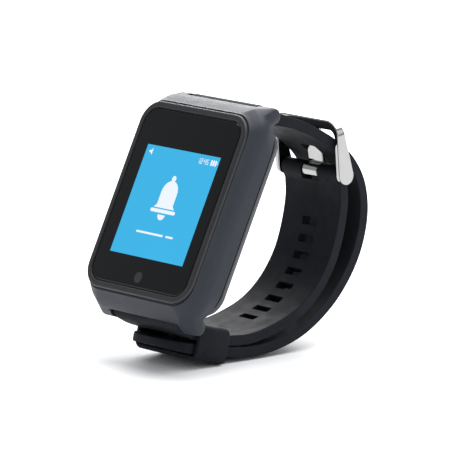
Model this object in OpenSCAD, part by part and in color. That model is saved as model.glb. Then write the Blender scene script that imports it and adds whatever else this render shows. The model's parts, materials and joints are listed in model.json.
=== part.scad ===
// Wrist-worn pager: a square-screen case on a two-piece strap that is buckled into a loop.
// It leans back and stands on its strap keeper and on the lowest stretch of the strap.
//
// Every piece is drawn in case space: x across the case, y from the front face towards the
// back, z up along the case from the lower edge of the front frame. stand() then leans the
// whole pager back and lifts it, so that z = 0 is the surface that it stands on.
// Side outlines are lists of [y, z] points.

/* [Case] */
// Width of the front frame
frame_w = 39.7; // [39:0.1:40.5]
// Height of the front frame
frame_h = 48.1; // [47.5:0.1:49]
// Corner radius of the front frame
frame_r = 5.8; // [5.6:0.1:6.2]
// Greatest width of the case
case_w = 42.3; // [42:0.1:43]
// Depth of the case from front face to back face
case_d = 11.6; // [11.4:0.1:12]
// How far each flared end stands out beyond the front frame
flare = 3.85; // [3.8:0.05:4]
// Depth of the joint line between front shell and back cover, along the sides
parting_d = 8.8; // [8.6:0.1:9]

/* [Screen] */
// Side of the square display area
screen_side = 27.7; // [26:0.1:28]
// Lower edge of the display area above the lower edge of the front frame
screen_z = 9.4; // [9.2:0.1:9.8]

/* [Strap] */
// Width of the strap round the wrist
strap_w = 21; // [20.6:0.1:21.2]
// Thickness of the strap
strap_t = 2.6; // [2.4:0.1:2.7]
// Width of the strap end between the lugs
strap_end_w = 26.4; // [26:0.1:26.6]
// Distance between the centres of two adjustment slots
slot_pitch = 4.6; // [4.4:0.1:4.8]
// Number of slots in the short strap
slot_count = 8; // [4:1:8]

/* [Buckle] */
// Thickness of the buckle's side arms
arm_t = 1.3; // [1.2:0.1:1.6]
// Width of the flat buckle tongue
tang_w = 5.4; // [5:0.1:5.6]

/* [Stance] */
// Angle by which the case leans back
lean = 25.7; // [25:0.1:26]

/* [Hidden] */
$fn = 48;
eps = 0.01;
fit = 0.08;                         // radial clearance of a running fit
mid_z = frame_h / 2;

// Front stack, as depths from the front face
rim_t = 0.9;                        // rim of the front frame
glass_back = 1.15;
gasket_back = 1.4;
frame_back = 2.1;
deck_front = 2.2;
deck_back = 3;
lcd_back = 2.75;
light_back = 3.6;
chassis_back = 4.4;
board_front = 4.5;
board_back = 5.3;
wall_inset = 0.85;                  // cavity wall, measured in from the front frame's outline

// Lugs and spring bars
bar_r = 0.9;
pin_r = 0.45;
lug_r = 2.1;
lug_y = 8.5;
lug_drop = 2.9;                     // lug axis below the front frame's edge
lug_in = strap_end_w / 2 + 0.3;     // inner face of each lug
lug_z = [-lug_drop, frame_h + lug_drop];
strap_end_r = 2.2;

// Case screws
screw_x = frame_w / 2 - 4.45;
screw_z = [4.45, frame_h - 4.45];
screw_r = 0.7;
post_r = 1.8;
screw_tip = 4.4;
head_r = 1.3;
head_t = 0.8;
head_seat = case_d - 1.5;

// Rear components on the board
battery = [30, 4, 20];
motor_z = 30.6;
motor_y = 7.6;
motor_can_r = 1.8;
contact_z = 4.4;

// Centre line of the short strap, from the bottom lug to the buckle bar
pivot = [41.5, 46.9];
short_line = [[lug_y, -lug_drop], [12.5, -3.95], [18.5, -3.15], [24.5, -2], [31.2, 0.7],
              [37.6, 5.4], [43.1, 11.2], [46.5, 18], [47.9, 25.5], [47.4, 32.5],
              [45.7, 39.5], [43.7, 43.7], pivot];
// Centre line of the long strap, from the top lug under the buckle and back to its tip
long_line = [[lug_y, frame_h + lug_drop], [15.5, 52.1], [22.8, 53.2], [29.8, 53.4],
             [36.5, 52.8], [42.6, 51.1], [47.8, 47.8], [51.3, 43.2], [53.5, 37.5],
             [54.4, 31], [53.8, 24], [51.5, 16.5], [47, 8.8], [40.7, 2.6], [33.6, -1.75],
             [26.2, -4.45], [18.5, -6.5], [9.6, -8.5]];

// Keeper, on the straight stretch where both straps run together
keeper_mid = [19.7, -4.77];
keeper_slope = atan(0.2);
keeper_l = 9.6;
keeper_wall = 1.1;
keeper_slack = 0.35;
keeper_hi = 3.5;                    // inner top face above keeper_mid
keeper_lo = -3.25;                  // inner bottom face below keeper_mid

// Buckle
bar_end = [34.1, 57.2];            // centre of the frame's end bar
bar_end_t = 2;
bar_end_h = 2.5;                    // height of the end bar, along the arms
arm_in = strap_w / 2 + 0.35;
arm_r = 2.3;
frame_corner = 3.7;
pin_bore = 0.9;                     // depth of the blind pin holes in the arms
curl_r = 1.75;
tang_t = 0.9;
tang_slot = 6;                      // slot that the tongue pulls open
tang_rest = 0.85;                   // floor of the tongue's notch in the end bar
tang_gap = 0.1;

// ---- helpers -------------------------------------------------------------------------

// Point at t = 0 to 1 on the smooth curve from b to c, with neighbours a and d
function curve_point(a, b, c, d, t) =
    0.5 * (2 * b + (c - a) * t + (2 * a - 5 * b + 4 * c - d) * pow(t, 2)
           + (3 * b - a - 3 * c + d) * pow(t, 3));

// Smooth line through the given points, with steps pieces between each two
function smooth(p, steps = 5) =
    let (n = len(p) - 1,
         q = concat([2 * p[0] - p[1]], p, [2 * p[n] - p[n - 1]]))
    concat([for (i = [0 : n - 1], k = [0 : steps - 1])
                curve_point(q[i], q[i + 1], q[i + 2], q[i + 3], k / steps)],
           [p[n]]);

function unit(v) = v / norm(v);
function along(p, i) = unit(p[min(i + 1, len(p) - 1)] - p[max(i - 1, 0)]);
function left_of(v) = [-v[1], v[0]];

// The line p moved sideways by h
function beside(p, h) = [for (i = [0 : len(p) - 1]) p[i] + left_of(along(p, i)) * h];
function backwards(p) = [for (i = [len(p) - 1 : -1 : 0]) p[i]];

// Band of constant thickness t along the line p
function band(p, t) = concat(beside(p, t / 2), backwards(beside(p, -t / 2)));

// Running length along p at each point, as a table for lookup()
function lengths(p) =
    [for (i = 0, s = 0; i < len(p); s = s + norm(p[min(i + 1, len(p) - 1)] - p[i]), i = i + 1) s];
function at(p, s) =
    let (l = lengths(p))
    [for (k = [0, 1]) lookup(s, [for (i = [0 : len(p) - 1]) [l[i], p[i][k]]])];

// Running length at which p comes nearest to the point q
function nearest(p, q) =
    let (d = [for (v = p) norm(v - q)], l = lengths(p))
    l[search(min(d), d)[0]];

// Height and depth of a side point once the pager leans back
function stood_z(q) = q[1] * cos(lean) - q[0] * sin(lean);
function stood_y(q) = q[1] * sin(lean) + q[0] * cos(lean);

short_path = smooth(short_line);
long_path = smooth(long_line);
long_outer = beside(long_path, strap_t / 2);

keeper_heel = keeper_mid
    + [keeper_l / 2 * cos(keeper_slope) - (keeper_lo - keeper_wall) * sin(keeper_slope),
       keeper_l / 2 * sin(keeper_slope) + (keeper_lo - keeper_wall) * cos(keeper_slope)];
floor_z = min(concat([stood_z(keeper_heel)], [for (q = long_outer) stood_z(q)]));
back_y = max([for (q = long_outer) stood_y(q)]);

module stand() {
    translate([0, -back_y / 2, -floor_z])
        rotate([-lean, 0, 0])
            children();
}

// Extrudes a side outline of [y, z] points to a width w, centred on x = 0
module across(w) {
    rotate([90, 0, 90])
        translate([0, 0, -w / 2])
            linear_extrude(w)
                children();
}

// Extrudes a front outline of [x, z] points from depth y0 to depth y1
module deep(y0, y1) {
    translate([0, y1, 0])
        rotate([90, 0, 0])
            linear_extrude(y1 - y0)
                children();
}

module rounded(w, h, r) {
    square([w - 2 * r, h], center = true);
    square([w, h - 2 * r], center = true);
    for (x = [-1, 1], z = [-1, 1])
        translate([x * (w / 2 - r), z * (h / 2 - r)])
            circle(r);
}

// The front frame's outline, drawn in by inset on every side
module outline(inset) {
    translate([0, mid_z])
        rounded(frame_w - 2 * inset, frame_h - 2 * inset, frame_r - inset);
}

module ring(outer, inner) {
    difference() {
        outline(outer);
        outline(inner);
    }
}

// Rectangle from z0 to z1, centred on x
module panel(x, w, z0, z1) {
    translate([x - w / 2, z0])
        square([w, z1 - z0]);
}

// Rod across the case, centred at x, y and z
module rod(r, x0, x1, y, z) {
    translate([x0, y, z])
        rotate([0, 90, 0])
            cylinder(r = r, h = x1 - x0);
}

// Rod that points from the front of the case to the back
module post(r, x, z, y0, y1) {
    translate([x, y0, z])
        rotate([-90, 0, 0])
            cylinder(r = r, h = y1 - y0);
}

module at_screws() {
    for (x = [-screw_x, screw_x], z = screw_z)
        translate([x, 0, z])
            children();
}

// Puts a piece at the running length s of a path, its z axis square to the path
module on_path(p, s) {
    q = at(p, s);
    v = at(p, s + 0.2) - at(p, s - 0.2);
    translate([0, q[0], q[1]])
        rotate([atan2(v[1], v[0]), 0, 0])
            children();
}

module slot(length) {
    cube([5.6, length, 3 * strap_t], center = true);
}

// ---- case ----------------------------------------------------------------------------

// Thin rounded slice of the case: width, lowest and highest edge, corner radius, depth
module slice(w, z0, z1, r, y) {
    deep(y, y + eps)
        translate([0, (z0 + z1) / 2])
            rounded(w, z1 - z0, r, $fn = 32);
}

module case_skin() {
    hull() {
        slice(frame_w + 0.3, -0.5, frame_h + 0.5, frame_r, rim_t);
        slice(case_w - 0.6, -flare * 0.72, frame_h + flare * 0.72, 6.9, 3.4);
        slice(case_w, -flare, frame_h + flare, 7.4, 5.3);
        slice(case_w, -flare + 0.5, frame_h + flare - 0.5, 7, 6.3);
        slice(case_w - 0.2, -0.3, frame_h + 0.3, 5, parting_d + 0.4);
    }
}

// Side outline of everything behind the joint between shell and cover
module behind_parting() {
    translate([parting_d, -9])
        square([2 * case_d, frame_h + 18]);
}

module lug(x, z) {
    side = z < mid_z ? 1 : -1;
    mirror([x < 0 ? 1 : 0, 0, 0])
        hull() {
            rod(lug_r, lug_in, case_w / 2 - 3.2, lug_y, z, $fn = 32);
            post(2.8, case_w / 2 - 5.1, z + side * 2.6, 3.8, 6, $fn = 32);
        }
}

module front_shell() {
    color("dimgray")
        difference() {
            union() {
                difference() {
                    union() {
                        difference() {
                            case_skin();
                            across(2 * case_w)
                                behind_parting();
                        }
                        difference() {
                            for (x = [-1, 1], z = lug_z)
                                lug(x, z);
                            intersection() {
                                back_skin(0.12);
                                across(2 * case_w)
                                    behind_parting();
                            }
                            translate([-lug_in, 0, -frame_h])
                                cube([2 * lug_in, 2 * case_d, 3 * frame_h]);
                        }
                    }
                    deep(0, frame_back)
                        outline(wall_inset);
                    deep(deck_back, case_d)
                        outline(wall_inset);
                    deep(deck_front - 0.2, deck_back + eps)
                        panel(0, 32.4, 2.6, 40.4);
                }
                at_screws()
                    post(post_r, 0, 0, deck_back - eps, 7.3);
            }
            for (z = lug_z) {
                rod(strap_end_r + 0.15, -lug_in, lug_in, lug_y, z);
                for (x = [-1, 1])
                    mirror([x < 0 ? 1 : 0, 0, 0])
                        rod(pin_r + fit, lug_in - 1, lug_in + 2.2, lug_y, z);
            }
            at_screws()
                post(screw_r + 0.05, 0, 0, screw_tip - 0.4, 7.4);
        }
}

module bezel_frame() {
    color("black")
        difference() {
            union() {
                deep(0, rim_t)
                    outline(0);
                deep(rim_t - eps, frame_back)
                    outline(wall_inset + 0.08);
            }
            deep(-1, gasket_back)
                outline(1.75);
            deep(1, 3)
                outline(3);
        }
}

module cover_glass() {
    color("black")
        deep(0.1, glass_back)
            outline(1.85);
}

module glass_gasket() {
    color("gray")
        deep(glass_back, gasket_back)
            ring(1.9, 2.9);
}

module lcd_panel() {
    color("deepskyblue")
        deep(glass_back + 0.1, lcd_back)
            panel(0, screen_side + 3.8, screen_z - 3.4, screen_z + screen_side + 2.4);
}

module backlight() {
    color("white")
        deep(lcd_back, light_back)
            panel(0, screen_side + 2.8, screen_z - 1.4, screen_z + screen_side + 1.4);
}

// Ribbon from the display's lower edge, round the chassis, to the back of the board
module display_flex() {
    ribbon = [[1.9, 5.9], [1.9, 4.6], [2.4, 3.5], [3.6, 3.1], [4.6, 3.3], [5.5, 4.2], [5.5, 6.4]];
    color("orange")
        translate([-9.6, 0, 0])
            across(5.4)
                polygon(band(smooth(ribbon), 0.2));
}

module touch_pad() {
    color("gold")
        post(1.3, 0, 4.4, glass_back, glass_back + 0.1);
}

// Opening in chassis and board for the display ribbon
module flex_notch() {
    panel(-9.6, 6.4, 0, 6.6);
}

module clear_of_posts() {
    difference() {
        children();
        for (x = [-screw_x, screw_x], z = screw_z)
            translate([x, z])
                circle(post_r + 0.2);
        flex_notch();
    }
}

module inner_chassis() {
    color("lightgray")
        union() {
            deep(light_back + 0.1, chassis_back)
                clear_of_posts()
                    outline(1.1);
            deep(deck_back, light_back + 0.1 + eps)
                clear_of_posts()
                    difference() {
                        outline(1.1);
                        translate([0, 22])
                            square([32.4, 37], center = true);
                    }
        }
}

module main_board() {
    color("darkgreen")
        deep(board_front, board_back)
            clear_of_posts()
                outline(2.1);
}

module board_chips() {
    color("black")
        for (c = [[-13.4, 30.6, 3.2, 2.4], [4.6, 30, 5, 5], [10.6, 30, 4, 4], [15, 35.5, 2, 3]])
            deep(board_back, board_back + 1)
                panel(c[0], c[2], c[1] - c[3] / 2, c[1] + c[3] / 2);
}

module rf_shield() {
    color("silver")
        difference() {
            deep(board_back, board_back + 1.8)
                panel(-7.6, 12, 33.4, 41.6);
            deep(board_back - 1, board_back + 1.6)
                panel(-7.6, 11.6, 33.6, 41.4);
        }
}

module radio_chip() {
    color("black")
        deep(board_back, board_back + 1.1)
            panel(-7.6, 7, 35, 40);
}

module antenna_rod() {
    color("darkslategray")
        rod(0.75, -12, 12, 6.8, 44.2);
}

module antenna_coil() {
    color("chocolate")
        difference() {
            rod(1.2, -9, 9, 6.8, 44.2);
            rod(0.75 + eps, -10, 10, 6.8, 44.2);
        }
}

module battery_cell() {
    color("lightsteelblue")
        translate([-battery[0] / 2, board_back + 0.1, 7.2])
            cube(battery);
}

// Two insulated leads from the top edge of the cell to the board
module battery_lead() {
    top_z = 7.2 + battery[2];
    color("red")
        for (x = [13.4, 14.6])
            translate([x, 0, 0])
                across(0.8)
                    polygon(band(smooth([[7.4, top_z + 0.03], [7.4, top_z + 0.8], [6.6, top_z + 1.3],
                                         [board_back + 0.03, top_z + 1.3]]), 0.7));
}

module motor_can() {
    color("silver")
        difference() {
            rod(motor_can_r, -11.5, -3, motor_y, motor_z);
            rod(0.4 + fit, -4.5, -2.5, motor_y, motor_z);
        }
}

// Half-round weight fixed on the motor's shaft, hanging straight down
module motor_weight() {
    color("goldenrod")
        union() {
            rod(0.4, -4.4, 0.6, motor_y, motor_z);
            translate([0, motor_y, motor_z])
                rotate([lean, 0, 0])
                    difference() {
                        rod(1.65, -2.6, 0.6, 0, 0);
                        translate([-3, -4, 0.3])
                            cube([4, 8, 4]);
                    }
        }
}

module buzzer() {
    color("black")
        difference() {
            deep(board_back, board_back + 3)
                panel(8, 8.5, 33.8, 42.3);
            post(0.8, 8, 38, board_back + 2, board_back + 4);
        }
}

module charge_contacts() {
    color("gold")
        for (i = [-1.5 : 1.5])
            union() {
                post(0.7, i * 2.54, contact_z, board_back, case_d - 0.8);
                post(1, i * 2.54, contact_z, case_d - 1.6, case_d - 0.9);
            }
}

module back_skin(grow = 0) {
    hull() {
        slice(case_w - 0.2, 0.2 - grow, frame_h - 0.2 + grow, 5, 5);
        slice(case_w - 0.2, 0.2 - grow, frame_h - 0.2 + grow, 5, parting_d + 0.5);
        slice(case_w - 1.4, 0.7 - grow, frame_h - 0.7 + grow, 4.6, case_d - 0.8);
        slice(case_w - 4, 2.4 - grow, frame_h - 2.4 + grow, 4.2, case_d - eps);
    }
}

module back_cover() {
    color("slategray")
        difference() {
            union() {
                intersection() {
                    back_skin();
                    translate([0, 0.06, 0])
                        across(2 * case_w)
                            behind_parting();
                }
                deep(4.9, parting_d + 0.4)
                    ring(wall_inset + 0.1, 1.9);
            }
            deep(4.8, case_d - 2.6)
                outline(1.9);
            deep(case_d - 2.7, case_d - 1.1)
                translate([0, mid_z])
                    rounded(frame_w - 4.4, frame_h - 13.4, 4);
            deep(5.2, 5.8)
                ring(0.5, 1.35);
            at_screws() {
                post(screw_r + 0.1, 0, 0, 5, case_d + 1);
                post(head_r + 0.1, 0, 0, head_seat, case_d + 1);
            }
            for (i = [-1.5 : 1.5]) {
                post(0.7 + fit, i * 2.54, contact_z, 5, case_d + 1);
                post(1 + fit, i * 2.54, contact_z, case_d - 3, case_d - 0.9);
            }
        }
}

module back_seal() {
    color("black")
        deep(5.25, 5.75)
            ring(wall_inset + 0.04, 1.33);
}

module back_screws() {
    color("silver")
        at_screws()
            difference() {
                union() {
                    post(screw_r, 0, 0, screw_tip, head_seat + eps);
                    post(head_r, 0, 0, head_seat, head_seat + head_t);
                }
                translate([0, head_seat + head_t, 0])
                    for (a = [0, 90])
                        rotate([0, a, 0])
                            cube([1.5, 0.8, 0.3], center = true);
            }
}

// ---- spring bars -----------------------------------------------------------------------

// Tube of a spring bar, open at both ends
module bar_tube(half, y, z) {
    difference() {
        rod(bar_r, -half, half, y, z);
        rod(pin_r + fit, -half - 1, half + 1, y, z);
    }
}

// Sprung pin that stands out of a tube: side is -1 or 1, reach is its outer end
module bar_pin(side, reach, y, z) {
    mirror([side < 0 ? 1 : 0, 0, 0])
        rod(pin_r, reach - 6.5, reach, y, z);
}

module lug_bar(z) {
    color("silver")
        bar_tube(lug_in - 0.2, lug_y, z);
}

module lug_pin(side, z) {
    color("silver")
        bar_pin(side, lug_in + 1.4, lug_y, z);
}

module buckle_bar() {
    color("silver")
        bar_tube(arm_in - 0.15, pivot[0], pivot[1]);
}

module buckle_pin(side) {
    color("silver")
        bar_pin(side, arm_in + pin_bore - 0.1, pivot[0], pivot[1]);
}

// ---- strap -----------------------------------------------------------------------------

// Wide end of a strap between the lugs, seen along z: half width against depth
module shoulder() {
    half = strap_end_w / 2;
    slim = strap_w / 2;
    polygon([[-half, 0], [half, 0], [half, 10.6], [slim + 1, 12.6], [slim, 14], [slim, 24],
             [-slim, 24], [-slim, 14], [-slim - 1, 12.6], [-half, 10.6]]);
}

// A strap's band, its round end at the lug and the widened shoulder behind it, which thins
// out by point n of the path
module strap_body(path, z, n) {
    across(strap_w)
        polygon(band(path, strap_t));
    intersection() {
        across(strap_end_w) {
            polygon(band(path, strap_t));
            translate([lug_y, z])
                circle(strap_end_r);
            polygon([[lug_y, z + strap_end_r], [lug_y, z - strap_end_r],
                     path[n] - [0, strap_t / 2 - 0.02], path[n] + [0, strap_t / 2 - 0.02]]);
        }
        translate([0, 0, z - 6])
            linear_extrude(12)
                shoulder();
    }
}

module strap_short() {
    first = nearest(short_path, [38.3, 5.9]);
    color("#25262b")
        difference() {
            union() {
                strap_body(short_path, lug_z[0], 5);
                rod(strap_end_r - 0.25, -strap_w / 2, strap_w / 2, pivot[0], pivot[1]);
            }
            rod(bar_r + fit, -strap_end_w, strap_end_w, lug_y, lug_z[0]);
            rod(bar_r + fit, -strap_w, strap_w, pivot[0], pivot[1]);
            for (i = [0 : slot_count - 1])
                on_path(short_path, first + i * slot_pitch)
                    slot(2);
            translate([-tang_w / 2 - 0.4, pivot[0] - 3.4, pivot[1] - 2.6])
                cube([tang_w + 0.8, 8, 8]);
        }
}

// Cuts the free end of the long strap to a blunt half ellipse
module tip_cut() {
    front = long_line[len(long_line) - 1][0];
    depth = 5.4;
    half = strap_w / 2;
    round_end = [for (a = [0 : 10 : 180])
                     [half * cos(a), front + depth - depth * sin(a)]];
    translate([0, 0, -14])
        linear_extrude(9)
            difference() {
                translate([-strap_w, 0])
                    square([2 * strap_w, front + depth]);
                polygon(concat(round_end, [[-half, 30], [half, 30]]));
            }
}

module strap_long() {
    tang_s = nearest(long_path, tang_cross);
    color("#25262b")
        difference() {
            strap_body(long_path, lug_z[1], 8);
            rod(bar_r + fit, -strap_end_w, strap_end_w, lug_y, lug_z[1]);
            on_path(long_path, tang_s)
                slot(tang_slot);
            for (i = [1 : slot_count - 1])
                on_path(long_path, tang_s + i * slot_pitch + 0.8)
                    slot(2);
            tip_cut();
        }
}

module keeper() {
    inner = strap_w + 2 * keeper_slack;
    outer = inner + 2 * keeper_wall;
    height = keeper_hi - keeper_lo;
    color("#25262b")
        translate([0, keeper_mid[0], keeper_mid[1]])
            rotate([keeper_slope, 0, 0])
                rotate([90, 0, 0])
                    translate([0, 0, -keeper_l / 2])
                        linear_extrude(keeper_l)
                            difference() {
                                translate([0, (keeper_hi + keeper_lo) / 2])
                                    rounded(outer, height + 2 * keeper_wall, 2.4);
                                translate([0, (keeper_hi + keeper_lo) / 2])
                                    rounded(inner, height, 0.5);
                            }
}

// ---- buckle ----------------------------------------------------------------------------

arm_dir = unit(bar_end - pivot);
arm_out = -left_of(arm_dir);
arm_len = norm(bar_end - pivot);
arm_angle = atan2(arm_dir[1], arm_dir[0]);

// Blade of the tongue: from the outer side of its curl to its notch in the end bar
blade_foot = pivot + arm_out * (curl_r - tang_t / 2 - 0.1);
blade_tip = bar_end + arm_out * (tang_rest + tang_gap + tang_t / 2) + arm_dir * 0.7;
tang_cross = blade_foot + (blade_tip - blade_foot) * 0.4;

// Side outline of one arm: round at the pivot, slimmer and rounded at the end bar
module arm_side() {
    hull() {
        circle(arm_r);
        translate([arm_len + (bar_end_h - bar_end_t) / 2, 0])
            circle(bar_end_t / 2);
    }
}

// The buckle frame laid flat: two arms and the end bar, with rounded corners
module frame_plan() {
    outer = arm_in + arm_t;
    reach = arm_len + bar_end_h / 2;
    difference() {
        union() {
            translate([-outer, -arm_r - 1])
                square([2 * outer, reach + arm_r + 1 - frame_corner]);
            translate([-outer + frame_corner, 0])
                square([2 * (outer - frame_corner), reach]);
            for (x = [-1, 1])
                translate([x * (outer - frame_corner), reach - frame_corner])
                    circle(frame_corner);
        }
        translate([-arm_in, -arm_r - 2])
            square([2 * arm_in, reach - bar_end_h + arm_r + 2]);
    }
}

module buckle_frame() {
    outer = arm_in + arm_t;
    notch_w = tang_w + 0.5;
    color("silver")
        difference() {
            translate([0, pivot[0], pivot[1]])
                rotate([arm_angle, 0, 0])
                    difference() {
                        intersection() {
                            across(2 * outer)
                                arm_side();
                            translate([0, 0, -arm_r - 1])
                                linear_extrude(2 * arm_r + 2)
                                    frame_plan();
                        }
                        translate([-notch_w / 2, arm_len - bar_end_h, -tang_rest - 2])
                            cube([notch_w, 2 * bar_end_h, 2]);
                    }
            rod(pin_r + fit, -arm_in - pin_bore, arm_in + pin_bore, pivot[0], pivot[1]);
        }
}

// Flat tongue: a curl round the buckle bar and a straight blade with a rounded tip
module buckle_tang() {
    color("silver")
        difference() {
            union() {
                rod(curl_r, -tang_w / 2, tang_w / 2, pivot[0], pivot[1]);
                across(tang_w)
                    polygon(band([blade_foot, blade_tip], tang_t));
            }
            rod(bar_r + fit, -tang_w, tang_w, pivot[0], pivot[1]);
        }
}

stand() front_shell();
stand() bezel_frame();
stand() cover_glass();
stand() glass_gasket();
stand() lcd_panel();
stand() backlight();
stand() display_flex();
stand() touch_pad();
stand() inner_chassis();
stand() main_board();
stand() board_chips();
stand() rf_shield();
stand() radio_chip();
stand() antenna_rod();
stand() antenna_coil();
stand() battery_cell();
stand() battery_lead();
stand() motor_can();
stand() motor_weight();
stand() buzzer();
stand() charge_contacts();
stand() back_cover();
stand() back_seal();
stand() back_screws();
stand() lug_bar(lug_z[1]);  // lug_bar_top
stand() lug_bar(lug_z[0]);  // lug_bar_bottom
stand() lug_pin(-1, lug_z[1]);  // pin_top_left
stand() lug_pin(1, lug_z[1]);  // pin_top_right
stand() lug_pin(-1, lug_z[0]);  // pin_bottom_left
stand() lug_pin(1, lug_z[0]);  // pin_bottom_right
stand() buckle_bar();
stand() buckle_pin(-1);  // pin_buckle_left
stand() buckle_pin(1);  // pin_buckle_right
stand() strap_long();
stand() strap_short();
stand() keeper();
stand() buckle_frame();
stand() buckle_tang();
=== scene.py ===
"""Looks of the wrist pager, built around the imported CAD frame.

Shapes are drawn in case space, in millimetres: x across the case, d from the front face
towards the back, u up along the case from the lower edge of the front frame. finish_piece()
carries them into the row frame, in metres.
"""

import json
import math

import bmesh
import bpy
import numpy as np
from mathutils import Matrix, Vector


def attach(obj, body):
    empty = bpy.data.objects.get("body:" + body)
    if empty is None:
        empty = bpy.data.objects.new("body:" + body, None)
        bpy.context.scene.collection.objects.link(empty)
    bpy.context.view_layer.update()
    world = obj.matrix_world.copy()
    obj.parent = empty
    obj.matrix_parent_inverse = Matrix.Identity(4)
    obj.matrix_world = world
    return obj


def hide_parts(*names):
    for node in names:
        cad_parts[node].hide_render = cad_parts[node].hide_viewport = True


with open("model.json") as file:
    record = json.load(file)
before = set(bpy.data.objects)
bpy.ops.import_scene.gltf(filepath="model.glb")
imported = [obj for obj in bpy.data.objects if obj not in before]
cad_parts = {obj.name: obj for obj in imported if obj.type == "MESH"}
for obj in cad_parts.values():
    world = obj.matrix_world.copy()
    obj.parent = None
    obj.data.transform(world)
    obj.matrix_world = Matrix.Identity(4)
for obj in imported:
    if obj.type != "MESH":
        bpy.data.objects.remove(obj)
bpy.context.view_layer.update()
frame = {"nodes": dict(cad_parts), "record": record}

# ---- case space -------------------------------------------------------------------------

FRAME_W = 39.7
FRAME_H = 48.1
FRAME_R = 5.8
CASE_D = 11.6
PARTING_D = 8.8
MID_U = FRAME_H / 2
LEAN = math.radians(25.7)

back_mount = next(m for m in frame["record"]["mounts"] if m["name"] == "back_face")
COS, SIN = math.cos(LEAN), math.sin(LEAN)
SHIFT_Y = back_mount["pos_m"][1] - (CASE_D * COS + MID_U * SIN) / 1000
SHIFT_Z = back_mount["pos_m"][2] - (MID_U * COS - CASE_D * SIN) / 1000
TO_ROW = Matrix(
    (
        (0.001, 0, 0, 0),
        (0, 0.001 * COS, 0.001 * SIN, SHIFT_Y),
        (0, -0.001 * SIN, 0.001 * COS, SHIFT_Z),
        (0, 0, 0, 1),
    )
)


def in_row(x, d, u):
    """A case-space point in the row frame, in metres."""
    return TO_ROW @ Vector((x, d, u))


# ---- mesh helpers -----------------------------------------------------------------------


def new_object(name, verts, faces):
    """A mesh object, in case space, with its normals made consistent."""
    mesh = bpy.data.meshes.new(name)
    mesh.from_pydata([tuple(map(float, v)) for v in verts], [], [tuple(f) for f in faces])
    obj = bpy.data.objects.new(name, mesh)
    bpy.context.scene.collection.objects.link(obj)
    bm = bmesh.new()
    bm.from_mesh(mesh)
    bmesh.ops.remove_doubles(bm, verts=bm.verts, dist=1e-4)
    bmesh.ops.recalc_face_normals(bm, faces=bm.faces)
    bm.to_mesh(mesh)
    bm.free()
    return obj


def apply_modifiers(obj):
    """Turns an object's modifiers into its mesh."""
    graph = bpy.context.evaluated_depsgraph_get()
    mesh = bpy.data.meshes.new_from_object(obj.evaluated_get(graph))
    obj.modifiers.clear()
    old = obj.data
    obj.data = mesh
    bpy.data.meshes.remove(old)


def boolean(obj, tool, operation="DIFFERENCE"):
    """Applies a boolean to obj and removes the tool."""
    mod = obj.modifiers.new("boolean", "BOOLEAN")
    mod.object = tool
    mod.operation = operation
    mod.solver = "MANIFOLD"
    apply_modifiers(obj)
    bpy.data.objects.remove(tool)
    return obj


def loft(name, rings, closed=False, caps=True):
    """A skin through rings of equally many points; closed joins the last ring to the first."""
    count = len(rings[0])
    verts = [p for ring in rings for p in ring]
    faces = []
    pairs = len(rings) if closed else len(rings) - 1
    for i in range(pairs):
        a = i * count
        b = (i + 1) % len(rings) * count
        for k in range(count):
            j = (k + 1) % count
            faces.append((a + k, a + j, b + j, b + k))
    if caps and not closed:
        faces.append(tuple(range(count)))
        last = (len(rings) - 1) * count
        faces.append(tuple(last + k for k in reversed(range(count))))
    return new_object(name, verts, faces)


def prism(name, outline, low, high, axis="d"):
    """Extrudes an outline: of (x, u) points along d, or of (d, u) points along x."""
    if axis == "d":
        rings = [[(x, v, u) for x, u in outline] for v in (low, high)]
    else:
        rings = [[(v, d, u) for d, u in outline] for v in (low, high)]
    return loft(name, rings)


def rounded_outline(width, low, high, radius, steps=8):
    """Rounded rectangle of (x, u) points, centred on x = 0."""
    points = []
    corners = ((1, low, 270), (1, high, 0), (-1, high, 90), (-1, low, 180))
    for side, edge, start in corners:
        cx = side * (width / 2 - radius)
        cu = edge + radius if edge == low else edge - radius
        for k in range(steps + 1):
            a = math.radians(start + 90 * k / steps)
            points.append((cx + radius * math.cos(a), cu + radius * math.sin(a)))
    return points


def frame_outline(inset, steps=12):
    """The front frame's outline, drawn in by inset."""
    return rounded_outline(
        FRAME_W - 2 * inset, inset, FRAME_H - inset, max(FRAME_R - inset, 0.3), steps
    )


def smooth_line(points, steps=10):
    """Catmull-Rom line through points, as an array."""
    p = [np.array(q, float) for q in points]
    p = [2 * p[0] - p[1]] + p + [2 * p[-1] - p[-2]]
    line = []
    for i in range(1, len(p) - 2):
        a, b, c, d = p[i - 1 : i + 3]
        for k in range(steps):
            t = k / steps
            line.append(
                0.5
                * (
                    2 * b
                    + (c - a) * t
                    + (2 * a - 5 * b + 4 * c - d) * t**2
                    + (3 * b - a - 3 * c + d) * t**3
                )
            )
    line.append(p[-2])
    return np.array(line)


class Path:
    """A line of (d, u) points that can be read by running length."""

    def __init__(self, points):
        self.points = np.array(points, float)
        steps = np.linalg.norm(np.diff(self.points, axis=0), axis=1)
        self.length = np.concatenate([[0], np.cumsum(steps)])
        self.total = self.length[-1]

    def at(self, s):
        """Point at s, carried on straight beyond both ends."""
        inside = min(max(s, 0), self.total)
        q = np.array([np.interp(inside, self.length, self.points[:, k]) for k in (0, 1)])
        return q + self.along(inside) * (s - inside)

    def along(self, s):
        """Unit direction of the line at s."""
        a, b = max(s - 0.15, 0), min(s + 0.15, self.total)
        q = [
            np.array([np.interp(v, self.length, self.points[:, k]) for k in (0, 1)])
            for v in (a, b)
        ]
        v = q[1] - q[0]
        return v / np.linalg.norm(v)

    def side(self, s):
        """Unit direction square to the line at s."""
        v = self.along(s)
        return np.array([-v[1], v[0]])

    def nearest(self, q):
        """Running length of the line's point nearest to q."""
        return self.length[np.argmin(np.linalg.norm(self.points - np.array(q), axis=1))]


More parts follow.
